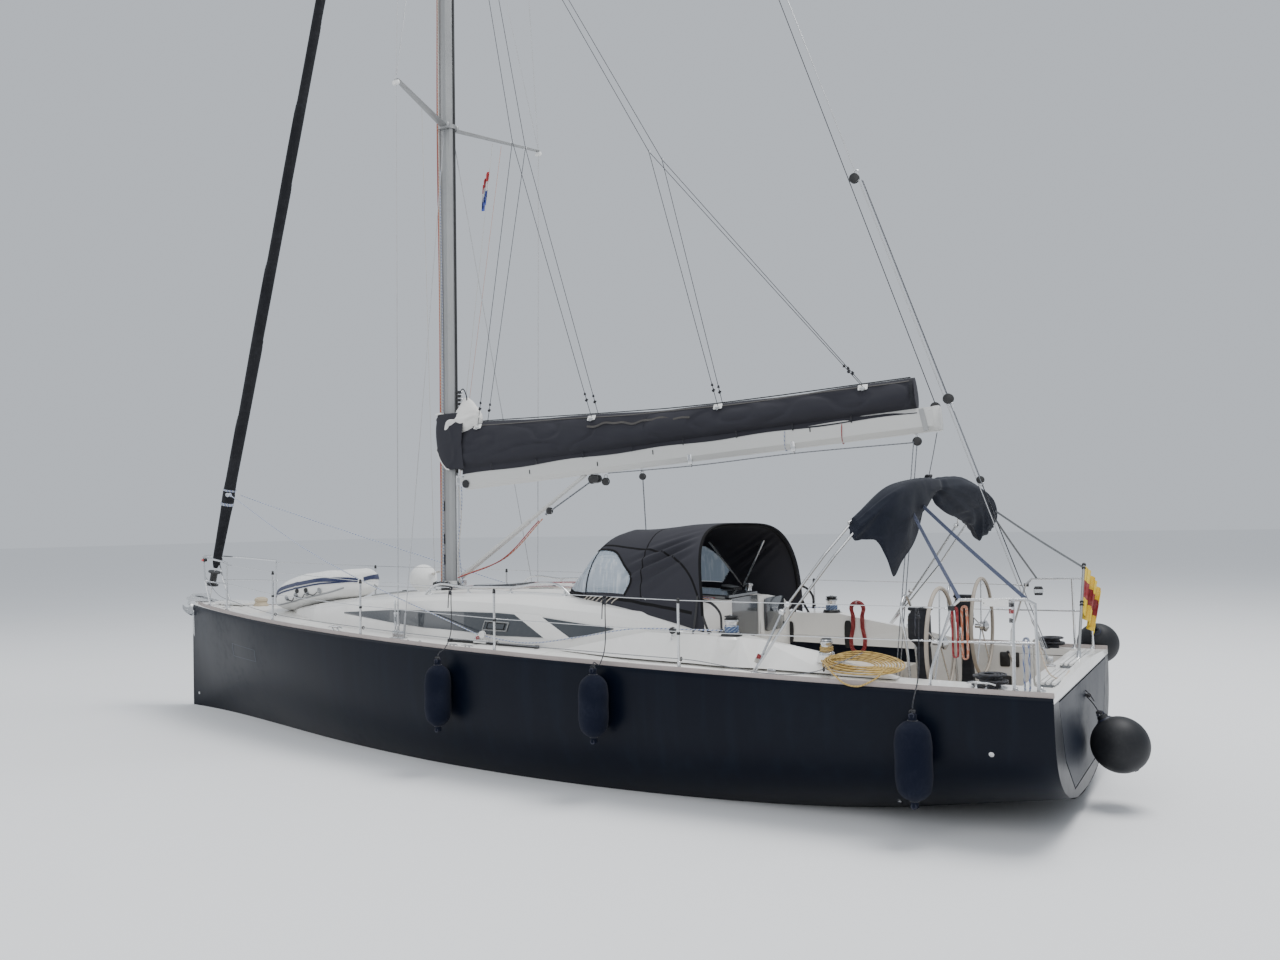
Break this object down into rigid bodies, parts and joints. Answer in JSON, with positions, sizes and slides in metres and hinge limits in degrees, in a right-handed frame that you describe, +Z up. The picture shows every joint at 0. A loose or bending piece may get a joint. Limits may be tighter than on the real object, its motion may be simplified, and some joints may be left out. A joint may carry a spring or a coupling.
{
  "type": "sailing yacht",
  "caption": "Cruising sailing yacht afloat, with a stowed mainsail on its boom, a furled headsail, a raised sprayhood, a folded bimini, wheels and a fin keel.",
  "frame": {"origin": "on the waterline, on the centreline, midway between stem and transom", "axes": "+X to the bow, +Y to port, +Z up"},
  "size_m": [12.5006, 4.1257, 21.5452],
  "materials": {
    "hull_paint": "deep navy gloss, nearly black",
    "antifouling": "matt dark underwater paint",
    "gelcoat_white": "white gelcoat with a non-slip pattern on its flats",
    "gelcoat_beige": "warm grey-white gelcoat",
    "sole": "pale laid planks with dark seams",
    "toe_rail": "dull pinkish grey rail",
    "dark_glazing": "smoked acrylic",
    "cast_metal": "coated cast iron",
    "bronze": "dull bronze",
    "spar": "grey anodised alloy",
    "boom_paint": "light grey paint",
    "stainless": "polished stainless steel",
    "wire": "stranded stainless wire",
    "black_canvas": "black acrylic canvas, faded along its folds",
    "pedestal_cover": "black cover",
    "fender_cloth": "dark navy knitted sock",
    "white_vinyl": "white inflated vinyl"
  },
  "bodies": {
    "root": {"hull": "hull_paint", "deck": "gelcoat_white", "port_toe_rail": "toe_rail", "starboard_toe_rail": "toe_rail", "coachroof": "gelcoat_white", "port_side_window": "dark_glazing", "starboard_side_window": "dark_glazing", "washboard": "dark_glazing", "cockpit_sole": "sole", "port_cockpit_seat": "gelcoat_beige", "starboard_cockpit_seat": "gelcoat_beige", "port_coaming": "gelcoat_white", "starboard_coaming": "gelcoat_white", "transom_locker": "gelcoat_beige", "keel": "cast_metal", "saildrive_leg": "antifouling", "mast": "spar", "lower_spreaders": "spar", "upper_spreaders": "spar", "port_cap_shroud": "wire", "starboard_cap_shroud": "wire", "port_lower_shroud": "wire", "starboard_lower_shroud": "wire", "backstay": "wire", "furled_genoa": "black_canvas", "furler_drum": "spar", "stem_fitting": "stainless", "gooseneck": "stainless", "pulpit": "stainless", "port_pushpit": "stainless", "starboard_pushpit": "stainless", "port_guardrail": "stainless", "starboard_guardrail": "stainless", "port_pedestal": "pedestal_cover", "starboard_pedestal": "pedestal_cover", "sprayhood": "black_canvas", "bimini_frame": "stainless", "bimini_canvas": "black_canvas", "port_winch": "stainless", "starboard_winch": "stainless", "fore_fender": "fender_cloth", "middle_fender": "fender_cloth", "aft_fender": "fender_cloth", "quarter_fender": "fender_cloth", "white_fender": "white_vinyl", "dinghy": "white_vinyl"},
    "boom_rig": {"boom": "boom_paint", "vang": "spar", "sail_bag": "black_canvas"},
    "rudder_blade": {"rudder": "antifouling"},
    "port_helm": {"port_wheel": "stainless"},
    "starboard_helm": {"starboard_wheel": "stainless"},
    "propeller_set": {"propeller": "bronze"},
    "saloon_lid": {"saloon_hatch": "dark_glazing"},
    "anchor_lid": {"anchor_locker_lid": "gelcoat_white"},
    "sliding_hatch": {"companionway_hatch": "dark_glazing"},
    "platform_flap": {"transom_platform": "hull_paint", "stern_fender": "fender_cloth"}
  },
  "joints": [
    {"name": "boom_swing", "type": "hinge", "parent": "root", "child": "boom_rig", "pos_m": [0.985, 0, 3.06], "axis": [0, 0, 1], "range_deg": [-69.5, 59.5]},
    {"name": "rudder_turn", "type": "hinge", "parent": "root", "child": "rudder_blade", "pos_m": [-4.95, 0, -0.08], "axis": [0, 0, 1], "range_deg": [-35, 35]},
    {"name": "port_wheel_turn", "type": "hinge", "parent": "root", "child": "port_helm", "pos_m": [-4.96, 0.8, 1.425], "axis": [1, 0, 0], "range_deg": [-280, 280]},
    {"name": "starboard_wheel_turn", "type": "hinge", "parent": "root", "child": "starboard_helm", "pos_m": [-4.96, -0.8, 1.425], "axis": [1, 0, 0], "range_deg": [-280, 280]},
    {"name": "propeller_spin", "type": "hinge", "parent": "root", "child": "propeller_set", "pos_m": [-2.571, 0, -0.76], "axis": [1, 0, 0], "continuous": true},
    {"name": "saloon_hatch_open", "type": "hinge", "parent": "root", "child": "saloon_lid", "pos_m": [0.1, 0, 1.8025], "axis": [0, -1, 0], "range_deg": [0, 100]},
    {"name": "anchor_locker_open", "type": "hinge", "parent": "root", "child": "anchor_lid", "pos_m": [4.76, 0, 1.489], "axis": [0, -1, 0], "range_deg": [0, 100]},
    {"name": "companionway_slide", "type": "slide", "parent": "root", "child": "sliding_hatch", "axis": [0.9989, 0, 0.047], "range_m": [0, 0.58]},
    {"name": "transom_platform_lower", "type": "hinge", "parent": "root", "child": "platform_flap", "pos_m": [-6, 0, 0.3], "axis": [0, -1, 0], "range_deg": [0, 90]}
  ],
  "couplings": [
    {"joint": "port_wheel_turn", "follows": "rudder_turn", "ratio": 8},
    {"joint": "starboard_wheel_turn", "follows": "rudder_turn", "ratio": 8}
  ]
}
